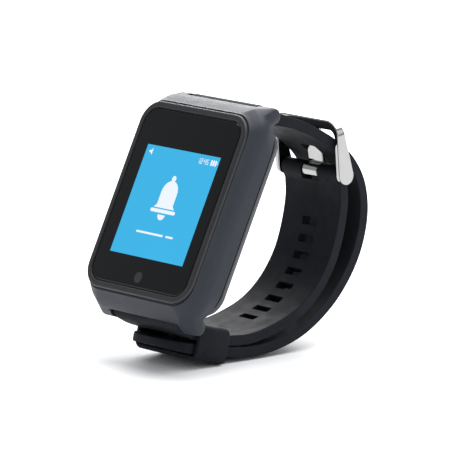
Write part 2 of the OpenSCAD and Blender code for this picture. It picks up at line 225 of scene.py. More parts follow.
def section(half_w, half_t, radius):
    """Rounded strap section of (x, h) points. A point is held close to each end of a corner's
    arc, so that the faces between shade flat."""
    steps, flats = 4, 10
    radius = min(radius, 0.98 * half_w, 0.98 * half_t)
    hold = 0.15 * (min(half_w, half_t) - radius)
    points = []
    corners = ((1, -1, 270), (1, 1, 0), (-1, 1, 90), (-1, -1, 180))
    for n, (sx, sh, start) in enumerate(corners):
        cx, ch = sx * (half_w - radius), sh * (half_t - radius)
        for k in range(-1, steps + 2):
            a = math.radians(start + 90 * min(max(k, 0), steps) / steps)
            slip = -hold if k < 0 else hold if k > steps else 0
            points.append(
                (
                    cx + radius * math.cos(a) - slip * math.sin(a),
                    ch + radius * math.sin(a) + slip * math.cos(a),
                )
            )
        if n in (1, 3):
            nx = -sx * (half_w - radius)
            h = sh * half_t
            for k in range(1, flats):
                points.append((cx + (nx - cx) * k / flats, h))
    return points


def sweep(name, path, stations):
    """Skin along a path: stations are (s, half width, half thickness, edge radius)."""
    rings = []
    for s, half_w, half_t, radius in stations:
        q, n = path.at(s), path.side(min(max(s, 0), path.total))
        rings.append(
            [(x, q[0] + n[0] * h, q[1] + n[1] * h) for x, h in section(half_w, half_t, radius)]
        )
    return loft(name, rings)


def block_on(name, path, s, width, length, depth, radius=0.35):
    """A rounded cutter of the given width and length, square to a path at s."""
    q, t, n = path.at(s), path.along(s), path.side(s)
    outline = rounded_outline(width, -length / 2, length / 2, radius, 4)
    rings = [
        [(x, q[0] + t[0] * v + n[0] * h, q[1] + t[1] * v + n[1] * h) for x, v in outline]
        for h in (-depth / 2, depth / 2)
    ]
    return loft(name, rings)


def rod(name, radius, x0, x1, d, u, steps=32):
    """Round bar across the case."""
    rings = [
        [
            (x, d + radius * math.cos(math.tau * k / steps), u + radius * math.sin(math.tau * k / steps))
            for k in range(steps)
        ]
        for x in (x0, x1)
    ]
    return loft(name, rings)


def post(name, radius, x, u, d0, d1, steps=32):
    """Round bar along the depth of the case."""
    rings = [
        [
            (x + radius * math.cos(math.tau * k / steps), d, u + radius * math.sin(math.tau * k / steps))
            for k in range(steps)
        ]
        for d in (d0, d1)
    ]
    return loft(name, rings)


def join(name, objects):
    """Joins objects into the first one."""
    bm = bmesh.new()
    for obj in objects:
        bm.from_mesh(obj.data)
    mesh = bpy.data.meshes.new(name)
    bm.to_mesh(mesh)
    bm.free()
    first = bpy.data.objects.new(name, mesh)
    bpy.context.scene.collection.objects.link(first)
    for obj in objects:
        bpy.data.objects.remove(obj)
    return first


def finish_piece(obj, body, shader, replaces=(), angle=32):
    """Carries a piece into the row frame, smooths its shading and registers it."""
    obj.data.transform(TO_ROW)
    obj.data.shade_smooth()
    obj.data.set_sharp_from_angle(angle=math.radians(angle))
    obj.data.materials.clear()
    obj.data.materials.append(shader.material)
    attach(obj, body)
    if replaces:
        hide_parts(*replaces)
    return obj


# ---- materials --------------------------------------------------------------------------


class Shader:
    """A node material with one Principled shader and short ways to add nodes."""

    def __init__(self, name):
        self.material = bpy.data.materials.new(name)
        self.material.use_nodes = True
        self.nodes = self.material.node_tree.nodes
        self.links = self.material.node_tree.links
        self.main = self.nodes["Principled BSDF"]
        self.place = self.nodes.new("ShaderNodeTexCoord").outputs["Object"]

    def put(self, **values):
        """Sets constant values on the Principled shader's own sockets."""
        for name, value in values.items():
            self.main.inputs[name.replace("_", " ")].default_value = value
        return self

    def noise(self, scale, detail=3.0, rough=0.55, stretch=None):
        node = self.nodes.new("ShaderNodeTexNoise")
        node.inputs["Scale"].default_value = scale
        node.inputs["Detail"].default_value = detail
        node.inputs["Roughness"].default_value = rough
        self.links.new(self.spread(stretch), node.inputs["Vector"])
        return node.outputs["Fac"]

    def spread(self, stretch):
        """Object coordinates, scaled per axis where stretch is given."""
        if stretch is None:
            return self.place
        node = self.nodes.new("ShaderNodeMapping")
        node.inputs["Scale"].default_value = stretch
        self.links.new(self.place, node.inputs["Vector"])
        return node.outputs["Vector"]

    def cells(self, scale):
        node = self.nodes.new("ShaderNodeTexVoronoi")
        node.inputs["Scale"].default_value = scale
        self.links.new(self.place, node.inputs["Vector"])
        return node.outputs["Distance"]

    def span(self, value, low, high, to_low=0.0, to_high=1.0):
        node = self.nodes.new("ShaderNodeMapRange")
        for name, v in zip(("From Min", "From Max", "To Min", "To Max"), (low, high, to_low, to_high)):
            node.inputs[name].default_value = v
        self.links.new(value, node.inputs["Value"])
        return node.outputs["Result"]

    def math(self, operation, a, b):
        node = self.nodes.new("ShaderNodeMath")
        node.operation = operation
        for socket, v in zip(node.inputs, (a, b)):
            if isinstance(v, (int, float)):
                socket.default_value = v
            else:
                self.links.new(v, socket)
        return node.outputs["Value"]

    def mix(self, fac, a, b):
        node = self.nodes.new("ShaderNodeMix")
        node.data_type = "RGBA"
        self.links.new(fac, node.inputs["Factor"])
        for socket, v in zip((node.inputs[6], node.inputs[7]), (a, b)):
            if isinstance(v, tuple):
                socket.default_value = (*v, 1.0)
            else:
                self.links.new(v, socket)
        return node.outputs[2]

    def colour(self, socket):
        self.links.new(socket, self.main.inputs["Base Color"])
        return self

    def rough(self, socket):
        self.links.new(socket, self.main.inputs["Roughness"])
        return self

    def bump(self, height, distance):
        node = self.nodes.new("ShaderNodeBump")
        node.inputs["Distance"].default_value = distance
        node.inputs["Strength"].default_value = 1.0
        self.links.new(height, node.inputs["Height"])
        self.links.new(node.outputs["Normal"], self.main.inputs["Normal"])
        return self


PLASTIC_GRAIN = 0.00001
RUBBER_GRAIN = 0.000012
METAL_GRAIN = 0.000002
LINT = (0.16, 0.165, 0.18)


def plastic(name, dark, light, rough_low, rough_high):
    """Moulded plastic with fine spark texture and faint blotches."""
    s = Shader(name)
    blotch = s.noise(140, 3)
    fine = s.noise(9000, 2)
    s.colour(s.mix(s.span(blotch, 0.35, 0.65), dark, light))
    s.rough(s.span(blotch, 0.3, 0.7, rough_low, rough_high))
    s.bump(fine, PLASTIC_GRAIN)
    return s


def silicone(name, dark, light):
    """Soft rubber that holds specks of dust and lint."""
    s = Shader(name)
    blotch = s.noise(90, 4)
    base = s.mix(s.span(blotch, 0.35, 0.7), dark, light)
    speck = s.span(s.cells(1500), 0.075, 0.05)
    thin = s.span(s.noise(420, 2), 0.56, 0.64)
    lint = s.math("MULTIPLY", speck, thin)
    s.colour(s.mix(lint, base, LINT))
    s.rough(s.span(s.noise(300, 3), 0.3, 0.7, 0.60, 0.74))
    s.bump(s.noise(5200, 3), RUBBER_GRAIN)
    s.put(Specular_IOR_Level=0.10)
    return s


def metal(name, colour, rough_low, rough_high, brushed=None):
    """Metal with faint uneven polish, stretched along an axis where brushed is given."""
    s = Shader(name)
    wear = s.noise(700, 4, 0.6, brushed)
    tint = tuple(min(1.0, c * 1.08) for c in colour)
    s.colour(s.mix(s.span(wear, 0.3, 0.7), colour, tint))
    s.rough(s.span(wear, 0.3, 0.7, rough_low, rough_high))
    s.bump(s.noise(2600, 3, 0.6, brushed), METAL_GRAIN)
    return s.put(Metallic=1.0)


case_plastic = plastic("case_plastic", (0.0145, 0.0175, 0.0260), (0.0175, 0.0205, 0.0295), 0.46, 0.54)
case_plastic.put(Specular_IOR_Level=0.30)
cover_plastic = plastic("cover_plastic", (0.0220, 0.0240, 0.0300), (0.0250, 0.0270, 0.0330), 0.36, 0.44)
cover_plastic.put(Specular_IOR_Level=0.4)
bezel_plastic = plastic("bezel_plastic", (0.0065, 0.0065, 0.0075), (0.009, 0.009, 0.010), 0.42, 0.5)
strap_rubber = silicone("strap_rubber", (0.0085, 0.0092, 0.0125), (0.0115, 0.0124, 0.0160))
polished = metal("polished_steel", (0.345, 0.345, 0.338), 0.08, 0.13)
bar_metal = metal("bar_steel", (0.55, 0.55, 0.55), 0.22, 0.34, (40, 1, 1))

# ---- case -------------------------------------------------------------------------------

LUG_D, LUG_DROP, LUG_R = 8.5, 2.9, 2.1
LUG_IN = 13.5
STRAP_END_R = 2.2
LUG_US = (-LUG_DROP, FRAME_H + LUG_DROP)
SCREW_X = FRAME_W / 2 - 4.45
SCREW_US = (4.45, FRAME_H - 4.45)
CONTACT_PITCH, CONTACT_U = 2.54, 4.4
VOXEL = 0.3
COVER_GAP = 0.34


def case_ring(d, half_w, low, corner_x, corner_u, kink):
    """Outline of the case at depth d. Each end is flat as far as a crease, where the corner
    sets off at kink degrees."""
    start = np.array([half_w - corner_x, low])
    stop = np.array([half_w, low + corner_u])
    turn = math.radians(kink)
    reach = 0.5523
    p1 = start + reach * corner_x * np.array([math.cos(turn), math.sin(turn)])
    p2 = stop - np.array([0, reach * corner_u])
    quarter = [(start[0] * k / 8, low) for k in range(8)]
    for t in np.linspace(0, 1, 17):
        q = (1 - t) ** 3 * start + 3 * t * (1 - t) ** 2 * p1 + 3 * t * t * (1 - t) * p2 + t**3 * stop
        quarter.append(tuple(q))
    quarter += [(half_w, stop[1] + (MID_U - stop[1]) * k / 10) for k in range(1, 11)]
    right = quarter + [(x, FRAME_H - u) for x, u in reversed(quarter[:-1])]
    left = [(-x, u) for x, u in reversed(right[1:-1])]
    return [(x, d, u) for x, u in right + left]


def case_loft(name, sections, per_mm=4):
    """Skin through sections of (d, half width, low end, corner x, corner u, kink)."""
    rows = []
    for a, b in zip(sections, sections[1:]):
        steps = max(1, round((b[0] - a[0]) * per_mm))
        for k in range(steps):
            rows.append(np.array(a) + (np.array(b) - np.array(a)) * k / steps)
    rows.append(np.array(sections[-1]))
    return loft(name, [case_ring(*row) for row in rows])


def behind_parting(name, gap=0.0):
    """Everything behind the joint between shell and cover, as a cutter."""
    return prism(name, rounded_outline(52, -9, FRAME_H + 9, 1), PARTING_D + gap, 30)


def hull(name, points):
    """Convex hull of points."""
    bm = bmesh.new()
    for p in points:
        bm.verts.new(p)
    result = bmesh.ops.convex_hull(bm, input=bm.verts)
    left_over = result["geom_interior"] + result["geom_unused"]
    inner = {v for v in left_over if isinstance(v, bmesh.types.BMVert)}
    bmesh.ops.delete(bm, geom=list(inner), context="VERTS")
    mesh = bpy.data.meshes.new(name)
    bm.to_mesh(mesh)
    bm.free()
    obj = bpy.data.objects.new(name, mesh)
    bpy.context.scene.collection.objects.link(obj)
    return obj


BODY_SECTIONS = (
    (0.3, 19.90, -0.42, 5.80, 5.8, 0),
    (1.0, 19.98, -0.50, 5.80, 5.8, 3),
    (1.6, 20.17, -1.10, 5.60, 6.0, 10),
    (2.4, 20.45, -1.89, 5.10, 6.3, 17),
    (3.4, 20.80, -2.78, 4.95, 6.7, 22),
    (4.4, 21.02, -3.46, 5.60, 7.1, 22),
    (4.9, 21.10, -3.72, 6.20, 7.3, 21),
    (5.3, 21.15, -3.84, 6.80, 7.5, 19),
    (5.7, 21.15, -3.72, 6.90, 7.6, 15),
    (6.3, 21.15, -3.28, 6.40, 7.8, 8),
    (7.5, 21.12, -2.00, 5.20, 8.2, 2),
    (9.2, 21.05, -0.45, 4.40, 8.6, 0),
)


def ear(side, u):
    """One lug: a round end, carried on from the case's own corner surface."""
    lower = u < MID_U
    points = []
    for k in range(28):
        a = math.tau * k / 28
        for x, r in ((LUG_IN - 0.5, LUG_R), (17.2, LUG_R), (17.75, LUG_R - 0.15), (17.95, LUG_R - 0.5)):
            points.append((side * x, LUG_D + r * math.cos(a), u + r * math.sin(a)))
    for row in BODY_SECTIONS:
        if 3.3 <= row[0] <= 7.6:
            for x, d, low in case_ring(*row):
                if 13.4 < x < 19.0 and low < 0:
                    points.append((side * (x - 0.04), d, low + 0.05 if lower else FRAME_H - low - 0.05))
    for d in (4.2, 6.4):
        points.append((side * 15.5, d, 1.5 if lower else FRAME_H - 1.5))
    return hull("ear", points)


def soften(obj, passes, weight):
    """Smooths an even mesh; weight(co) gives each point's share, from 0 to 1."""
    mesh = obj.data
    count = len(mesh.vertices)
    co = np.empty(count * 3)
    mesh.vertices.foreach_get("co", co)
    co = co.reshape(-1, 3)
    edges = np.empty(len(mesh.edges) * 2, np.int64)
    mesh.edges.foreach_get("vertices", edges)
    edges = edges.reshape(-1, 2)
    degree = np.bincount(edges.ravel(), minlength=count)[:, None]
    share = weight(co)[:, None]
    for step in range(passes):
        total = np.zeros_like(co)
        for k in range(3):
            total[:, k] = np.bincount(edges[:, 0], co[edges[:, 1], k], count)
            total[:, k] += np.bincount(edges[:, 1], co[edges[:, 0], k], count)
        pull = 0.62 if step % 2 == 0 else -0.64
        co += pull * share * (total / np.maximum(degree, 1) - co)
    mesh.vertices.foreach_set("co", co.ravel())
    mesh.update()


COVER_SECTIONS = (
    (5.0, 21.00, 0.22, 5.0, 6.6, 0),
    (9.3, 20.98, 0.24, 4.8, 6.4, 0),
    (9.8, 20.86, 0.32, 4.7, 6.2, 0),
    (10.4, 20.60, 0.55, 4.6, 5.6, 0),
    (10.8, 20.34, 0.80, 4.6, 5.0, 0),
    (11.1, 20.02, 1.15, 4.5, 4.6, 0),
    (11.35, 19.60, 1.65, 4.4, 4.4, 0),
    (11.52, 19.20, 2.20, 4.3, 4.3, 0),
    (11.6, 18.70, 2.75, 4.2, 4.2, 0),
)

shell = case_loft("case_shell", BODY_SECTIONS)
boolean(shell, behind_parting("cut", 0.5))
for lug_u in LUG_US:
    for side in (-1, 1):
        boolean(shell, ear(side, lug_u), "UNION")
remesh = shell.modifiers.new("remesh", "REMESH")
remesh.mode = "VOXEL"
remesh.voxel_size = VOXEL
apply_modifiers(shell)


def near_ears(co):
    """1 round the lugs, fading to a light touch on the rest of the shell."""
    reach = np.full(len(co), 99.0)
    for lug_u in LUG_US:
        for side in (-1, 1):
            inward = 1 if lug_u < MID_U else -1
            centre = np.array([side * 16.4, 7.6, lug_u + inward * 0.6])
            reach = np.minimum(reach, np.linalg.norm(co - centre, axis=1))
    return np.clip(1.25 - reach / 5.2, 0.1, 1.0)


soften(shell, 20, near_ears)

grown = [(d, w + 0.12, low - 0.12, cx, cu, k) for d, w, low, cx, cu, k in COVER_SECTIONS]
cover_space = case_loft("cover_space", [(4.9, *grown[0][1:])] + grown[1:-1] + [(12.4, *grown[-1][1:])])
boolean(shell, boolean(cover_space, behind_parting("cut"), "INTERSECT"))
for lug_u in LUG_US:
    boolean(shell, rod("cut", STRAP_END_R + 0.15, -LUG_IN, LUG_IN, LUG_D, lug_u, 64))
    low = -9 if lug_u < MID_U else FRAME_H + 1.2
    high = low + 7.8
    pocket = [(-LUG_IN, low), (LUG_IN, low), (LUG_IN, high), (-LUG_IN, high)]
    boolean(shell, prism("cut", pocket, 7.6, 13))
boolean(shell, prism("cut", rounded_outline(60, -20, 80, 1), -3, 0.95))
boolean(shell, prism("cut", frame_outline(0.85), -3, 2.1))
boolean(shell, prism("cut", rounded_outline(32.4, 2.6, 40.4, 0.5), 2, 4))
boolean(shell, prism("cut", frame_outline(0.85), 3.0, 13))
finish_piece(shell, "pager", case_plastic, ["front_shell"], 40)

cover = case_loft("back_cover_skin", COVER_SECTIONS)
boolean(cover, behind_parting("cut", COVER_GAP), "INTERSECT")
boolean(cover, prism("cut", frame_outline(1.9), 3, 9.1))
boolean(cover, prism("cut", rounded_outline(FRAME_W - 4.4, 6.7, FRAME_H - 6.7, 4), 8, 10.5))
for x in (-SCREW_X, SCREW_X):
    for u in SCREW_US:
        boolean(cover, post("cut", 0.8, x, u, 4, 13))
        boolean(cover, post("cut", 1.45, x, u, CASE_D - 1.5, 13, 40))
for k in range(4):
    x = (k - 1.5) * CONTACT_PITCH
    boolean(cover, post("cut", 1.0, x, CONTACT_U, CASE_D - 0.9, 13))
    boolean(cover, post("cut", 0.78, x, CONTACT_U, 4, 13))
finish_piece(cover, "pager", cover_plastic, ["back_cover"], 30)

# ---- front ------------------------------------------------------------------------------

GLASS_D = 0.1


def frame_rings(profile):
    """Rings of the front frame's outline at (inset, depth) pairs."""
    return [[(x, d, u) for x, u in frame_outline(inset, 16)] for inset, d in profile]


bezel = loft(
    "bezel_rim",
    frame_rings(
        [
            (0.0, 0.92), (0.0, 0.42), (0.03, 0.26), (0.11, 0.12), (0.22, 0.04), (0.36, 0.0),
            (1.30, 0.0), (1.40, 0.02), (1.47, 0.07), (1.52, 0.16), (1.55, 0.42), (1.74, 0.42),
            (1.74, 1.39), (3.0, 1.39), (3.0, 2.08), (0.94, 2.08), (0.94, 0.92),
        ]
    ),
    closed=True,
)
finish_piece(bezel, "pager", bezel_plastic, ["bezel_frame"], 40)

glass_black = Shader("glass_black")
glass_black.put(Base_Color=(0.0036, 0.0036, 0.0040, 1), Specular_IOR_Level=0.17)
glass_black.rough(glass_black.span(glass_black.noise(60, 3), 0.3, 0.7, 0.035, 0.06))
glass_black.bump(glass_black.noise(35, 2), 0.000004)
glass = loft(
    "glass_plate",
    frame_rings([(1.80, 1.14), (1.80, 0.36), (1.84, 0.29), (2.04, 0.13), (2.10, 0.105), (2.18, GLASS_D)]),
)
finish_piece(glass, "pager", glass_black, ["cover_glass"], 20)

# ---- screen picture ---------------------------------------------------------------------

SCREEN_SIDE = 27.7
SCREEN_LOW = 9.3
SCREEN_X = 0.3
SCREEN_D = GLASS_D - 0.006
ICON_D = SCREEN_D - 0.006


def glow(name, colour, strength):
    """A lit colour under gloss."""
    s = Shader(name)
    tone = s.span(s.noise(30, 1), 0.2, 0.8, 0.97 * strength, 1.03 * strength)
    s.put(Base_Color=(0.004, 0.004, 0.005, 1), Roughness=0.05, Specular_IOR_Level=0.15)
    s.put(Emission_Color=(*colour, 1))
    s.links.new(tone, s.main.inputs["Emission Strength"])
    return s


def plate(name, outlines, d_front, d_back):
    """Thin flat pieces with the given (x, u) outlines."""
    return join(name, [prism("plate", outline, d_front, d_back) for outline in outlines])


def bar(x0, x1, u0, u1, radius):
    """Outline of a bar with rounded corners."""
    mid = (x0 + x1) / 2
    return [(x + mid, u) for x, u in rounded_outline(x1 - x0, u0, u1, radius, 3)]


def disc(x, u, radius, start=0, stop=360, steps=28):
    """Outline of a disc, or of the part of it between two angles."""
    count = steps + (stop - start < 360)
    span = [math.radians(start + (stop - start) * k / steps) for k in range(count)]
    return [(x + radius * math.cos(a), u + radius * math.sin(a)) for a in span]


def digit(value, x, u, w=0.72, h=1.35, t=0.17):
    """Seven-segment digit with its lower left corner at x, u."""
    lit = {
        0: "abcdef", 1: "bc", 2: "abged", 3: "abgcd", 4: "fgbc",
        5: "afgcd", 6: "afgedc", 7: "abc", 8: "abcdefg", 9: "abfgcd",
    }[value]
    spans = {
        "a": (0, w, h - t, h), "b": (w - t, w, h / 2, h), "c": (w - t, w, 0, h / 2),
        "d": (0, w, 0, t), "e": (0, t, 0, h / 2), "f": (0, t, h / 2, h),
        "g": (0, w, (h - t) / 2, (h + t) / 2),
    }
    return [bar(x + spans[s][0], x + spans[s][1], u + spans[s][2], u + spans[s][3], 0.05) for s in lit]


def bell(x, u, k):
    """Call bell: knob, body, brim and clapper, as separate outlines."""
    left = [(-3.55, -2.0), (-2.75, -1.2), (-2.75, 1.6)]
    turns = [math.radians(a) for a in range(180, -1, -10)]
    arch = [(2.75 * math.cos(a), 1.6 + 2.9 * math.sin(a)) for a in turns]
    body = left + arch[1:] + [(-a, b) for a, b in reversed(left[:2])]
    shapes = [
        body,
        [(a, b - 2.72) for a, b in rounded_outline(8.6, -0.42, 0.42, 0.41, 6)],
        disc(0, 5.0, 0.72),
        disc(0, -3.55, 1.25, 180, 360),
    ]
    return [[(x + k * a, u + k * b) for a, b in shape] for shape in shapes]


screen_blue = glow("screen_blue", (0.040, 0.455, 0.80), 1.0)
screen_white = glow("screen_white", (0.86, 0.93, 1.0), 1.0)

picture = plate(
    "screen_picture",
    [[(x + SCREEN_X, u + SCREEN_LOW) for x, u in rounded_outline(SCREEN_SIDE, 0, SCREEN_SIDE, 0.05, 2)]],
    SCREEN_D,
    GLASS_D + 0.05,
)
finish_piece(picture, "pager", screen_blue)

STATUS_U = SCREEN_LOW + SCREEN_SIDE - 2.35
icons = bell(0, SCREEN_LOW + 15.0, 1.08)
icons += [bar(-7.0, 3.2, SCREEN_LOW + 5.9, SCREEN_LOW + 6.4, 0.24)]
icons += [bar(4.2, 7.0, SCREEN_LOW + 5.9, SCREEN_LOW + 6.4, 0.24)]
clock_x = 6.1
for value, offset in ((1, 0.0), (2, 0.95), (4, 2.25), (5, 3.2)):
    icons += digit(value, clock_x + offset, STATUS_U)
icons += [bar(clock_x + 1.88, clock_x + 2.05, STATUS_U + 0.3, STATUS_U + 0.48, 0.05)]
icons += [bar(clock_x + 1.88, clock_x + 2.05, STATUS_U + 0.85, STATUS_U + 1.03, 0.05)]
icons += [bar(10.9 + 0.78 * k, 11.48 + 0.78 * k, STATUS_U, STATUS_U + 1.4, 0.1) for k in range(3)]
icons += [bar(13.2, 13.42, STATUS_U + 0.42, STATUS_U + 0.98, 0.08)]
icons += [[(-12.5, STATUS_U + 0.45), (-12.0, STATUS_U + 0.45), (-11.3, STATUS_U - 0.2),
           (-11.3, STATUS_U + 1.6), (-12.0, STATUS_U + 0.95), (-12.5, STATUS_U + 0.95)]]
icons = [[(x + SCREEN_X, u) for x, u in outline] for outline in icons]
icon_plate = plate("screen_icons", icons, ICON_D, SCREEN_D + 0.003)
finish_piece(icon_plate, "pager", screen_white)

mark_grey = Shader("home_mark")
mark_grey.put(Base_Color=(0.013, 0.013, 0.014, 1), Roughness=0.22)
mark_grey.bump(mark_grey.noise(900, 2), 0.000003)
home = join(
    "home_mark",
    [prism("mark", disc(0, 4.4, 1.38, steps=48), SCREEN_D, GLASS_D + 0.05)],
)
finish_piece(home, "pager", mark_grey)

# ---- straps -----------------------------------------------------------------------------

STRAP_W, STRAP_T = 21.0, 2.6
STRAP_HEAD_W = 25.8
PLAIN_FROM = 14.3
SLOT_PITCH, SLOT_COUNT = 4.6, 8
SLOT_W, SLOT_L, TANG_SLOT_L = 5.6, 2.0, 6.0
BAR_BORE_R = 0.98
KNUCKLE_EDGE = 0.35
PIVOT = (41.5, 46.9)
BAR_END = (34.1, 57.2)

short_path = Path(
    smooth_line(
        [(8.5, -2.9), (12.5, -3.95), (18.5, -3.15), (24.5, -2), (31.2, 0.7), (37.6, 5.4), (43.1, 11.2),
         (46.5, 18), (47.9, 25.5), (47.4, 32.5), (45.7, 39.5), (43.7, 43.7), PIVOT]
    )
)
long_path = Path(
    smooth_line(
        [(8.5, 51.0), (15.5, 52.1), (22.8, 53.2), (29.8, 53.4), (36.5, 52.8), (42.6, 51.1),
         (47.8, 47.8), (51.3, 43.2), (53.5, 37.5), (54.4, 31), (53.8, 24), (51.5, 16.5), (47, 8.8),
         (40.7, 2.6), (33.6, -1.75), (26.2, -4.45), (18.5, -6.5), (9.6, -8.5)]
    )
)


def smoothstep(v, low, high):
    """0 below low, 1 above high, and an even turn between them."""
    t = min(max((v - low) / (high - low), 0), 1)
    return t * t * (3 - 2 * t)


STRAP_EDGE = 0.28


def strap_shape(s, thins_by):
    """Half width, half thickness and edge radius of a strap at s from its lug; it has come
    down to its plain thickness at thins_by."""
    half_w = STRAP_HEAD_W / 2 + (STRAP_W - STRAP_HEAD_W) / 2 * smoothstep(s, 1.9, 5.9)
    edge = 1.1 + (STRAP_EDGE - 1.1) * smoothstep(s, 1.0, 7.0)
    if s < 0:
        return half_w, math.sqrt(max(STRAP_END_R**2 - s * s, 0.01)), edge
    share = smoothstep(s, 0.5, thins_by)
    return half_w, STRAP_END_R + (STRAP_T / 2 - STRAP_END_R) * share ** 0.6, edge


def lug_end_stations(thins_by):
    """Stations from the round end at the lug to where the strap is plain."""
    round_end = [-STRAP_END_R * math.cos(math.radians(a)) for a in range(4, 91, 9)]
    along = round_end + list(np.arange(0.3, PLAIN_FROM, 0.4))
    return [(s, *strap_shape(s, thins_by)) for s in along]


def plain_stations(stop):
    """Stations of plain strap, as far as stop."""
    return [(s, STRAP_W / 2, STRAP_T / 2, STRAP_EDGE) for s in np.arange(PLAIN_FROM + 0.3, stop, 0.7)]


def strap_with_holes(name, path, stations, slots, lug_u):
    """A strap with its bore for the lug bar and its slots, each (s, length)."""
    piece = sweep(name, path, stations)
    boolean(piece, rod("cut", BAR_BORE_R, -15, 15, LUG_D, lug_u, 40))
    for s, length in slots:
        boolean(piece, block_on("cut", path, s, SLOT_W, length, 4 * STRAP_T))
    return piece


arm_dir = np.array(BAR_END) - np.array(PIVOT)
arm_len = float(np.linalg.norm(arm_dir))
arm_dir = arm_dir / arm_len
arm_out = np.array([arm_dir[1], -arm_dir[0]])
blade_foot = np.array(PIVOT) + arm_out * 1.2
blade_tip = np.array(BAR_END) + arm_out * 1.4 + arm_dir * 0.7
tang_s = long_path.nearest(blade_foot + (blade_tip - blade_foot) * 0.4)

stations = lug_end_stations(13.5)
stations += [
    (s, half_w, half_t - 0.12 * smoothstep(s, 15, 22) * (1 - smoothstep(s, 42, 50)), edge)
    for s, half_w, half_t, edge in plain_stations(long_path.total - 6.0)
]
tip_len = 5.6
for a in range(0, 89, 4):
    t = math.sin(math.radians(a))
    half_w = STRAP_W / 2 * math.sqrt(1 - t * t)
    half_t = STRAP_T / 2 * (1 - 0.30 * t**3)
    stations.append((long_path.total - tip_len + tip_len * t, half_w, half_t, STRAP_EDGE + 0.6 * t))
slots = [(tang_s, TANG_SLOT_L)]
slots += [(tang_s + i * SLOT_PITCH + 0.8, SLOT_L) for i in range(1, SLOT_COUNT)]
strap_long = strap_with_holes("long_strap", long_path, stations, slots, LUG_US[1])
finish_piece(strap_long, "pager", strap_rubber, ["strap_long"])

knuckle_r = STRAP_END_R - 0.25
stations = lug_end_stations(5.0)
stations += plain_stations(short_path.total - 3.4)
for s in np.arange(-3.2, 0.01, 0.4):
    swell = smoothstep(s, -3.2, -0.4)
    half_t = STRAP_T / 2 + (knuckle_r - STRAP_T / 2) * swell
    stations.append((short_path.total + s, STRAP_W / 2, half_t, KNUCKLE_EDGE))
for a in range(8, 87, 8):
    s = knuckle_r * math.sin(math.radians(a))
    half_t = knuckle_r * math.cos(math.radians(a))
    stations.append((short_path.total + s, STRAP_W / 2, half_t, KNUCKLE_EDGE))
first = short_path.nearest((38.3, 5.9))
slots = [(first + i * SLOT_PITCH, SLOT_L) for i in range(SLOT_COUNT)]
strap_short = strap_with_holes("short_strap", short_path, stations, slots, LUG_US[0])
boolean(strap_short, rod("cut", BAR_BORE_R, -15, 15, *PIVOT, 40))
notch = [(PIVOT[0] - 3.4, PIVOT[1] - 2.6), (PIVOT[0] + 4.6, PIVOT[1] - 2.6),
         (PIVOT[0] + 4.6, PIVOT[1] + 5.4), (PIVOT[0] - 3.4, PIVOT[1] + 5.4)]
boolean(strap_short, prism("cut", notch, -3.1, 3.1, "x"))
finish_piece(strap_short, "pager", strap_rubber, ["strap_short"])

# ---- keeper -----------------------------------------------------------------------------

KEEPER_MID = (19.7, -4.77)
KEEPER_L, KEEPER_WALL = 9.6, 1.1
keeper_turn = math.atan(0.2)
keeper_inner_w = STRAP_W + 0.7
keeper_low, keeper_high = -3.25, 3.5


def keeper_ring(grow, radius, v):
    """Ring of the keeper at v along it; grow is measured from its inner faces."""
    outline = rounded_outline(
        keeper_inner_w + 2 * grow, keeper_low - grow, keeper_high + grow, radius, 8
    )
    along = np.array([math.cos(keeper_turn), math.sin(keeper_turn)])
    up = np.array([-along[1], along[0]])
    ring = []
    for x, h in outline:
        q = np.array(KEEPER_MID) + along * v + up * h
        ring.append((x, q[0], q[1]))
    return ring


half = KEEPER_L / 2
wall = KEEPER_WALL
profile = [
    (wall - 0.3, 2.1, -half), (wall - 0.09, 2.3, -half + 0.08), (wall, 2.4, -half + 0.3),
    (wall, 2.4, half - 0.3), (wall - 0.09, 2.3, half - 0.08), (wall - 0.3, 2.1, half),
    (0.2, 0.65, half), (0.03, 0.52, half - 0.14), (0.0, 0.5, half - 0.3),
    (0.0, 0.5, -half + 0.3), (0.03, 0.52, -half + 0.14), (0.2, 0.65, -half),
]
keeper = loft("keeper_loop", [keeper_ring(*row) for row in profile], closed=True)
finish_piece(keeper, "keeper", strap_rubber, ["keeper"])

# ---- buckle -----------------------------------------------------------------------------

ARM_IN = STRAP_W / 2 + 0.35
ARM_T = 1.3
PIVOT_R = 2.3
BAR_HALF_T = 1.0
BAR_HALF_H = 1.25
CORNER_R = 3.05
PIN_BORE = 0.9


def buckle_point(x, r, h):
    """x across, r along the arms from the pivot, h out of the frame's plane."""
    q = np.array(PIVOT) + arm_dir * r + arm_out * h
    return (x, q[0], q[1])


def loop_stations():
    """Centre line of the buckle frame: (x, r, tangent angle, half height in the frame's plane,
    half thickness, edge radius)."""
    side_x = ARM_IN + ARM_T / 2
    rows = []
    for a in range(6, 91, 12):
        r = -PIVOT_R * math.cos(math.radians(a))
        rows.append((side_x, r, 90, ARM_T / 2, PIVOT_R * math.sin(math.radians(a)), 0.25))
    taper = (PIVOT_R - BAR_HALF_T) / arm_len
    for r in np.linspace(0.8, arm_len - CORNER_R, 16):
        rows.append((side_x, r, 90, ARM_T / 2, PIVOT_R - taper * r, 0.28))
    cx, cr = side_x - CORNER_R, arm_len - CORNER_R
    for a in range(6, 90, 6):
        b = math.radians(a)
        t = a / 90
        r = cr + CORNER_R * math.sin(b)
        rows.append(
            (cx + CORNER_R * math.cos(b), r, 90 + a, ARM_T / 2 + (BAR_HALF_H - ARM_T / 2) * t,
             PIVOT_R - taper * r, 0.28 + 0.14 * t)
        )
    for x in np.linspace(cx, 0, 12):
        rows.append((x, arm_len, 180, BAR_HALF_H, BAR_HALF_T, 0.42))
    mirrored = [(-x, r, 360 - angle, t, h, e) for x, r, angle, t, h, e in reversed(rows[:-1])]
    return rows + mirrored


